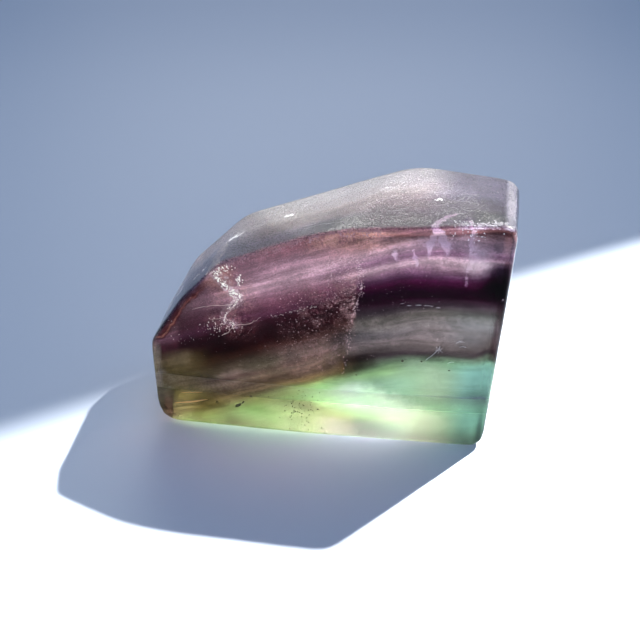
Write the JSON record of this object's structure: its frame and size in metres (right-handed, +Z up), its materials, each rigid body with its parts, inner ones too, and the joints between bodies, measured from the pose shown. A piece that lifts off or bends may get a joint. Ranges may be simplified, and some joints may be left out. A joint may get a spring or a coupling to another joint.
{
  "type": "rainbow fluorite freeform",
  "caption": "Polished standing block of banded see-through mineral with an arched top, a steep shoulder at one end and a flat foot; a display or desk stone.",
  "frame": {"origin": "middle of the bounding box in plan, at the height of the flat foot", "axes": "+Z up from the foot, +X along the stone's length towards its tall end, +Y from the front face to the back face"},
  "size_m": [0.0632, 0.0268, 0.041],
  "materials": {
    "fluorite": "polished"
  },
  "bodies": {
    "root": {"fluorite_stone": "fluorite"}
  },
  "joints": []
}
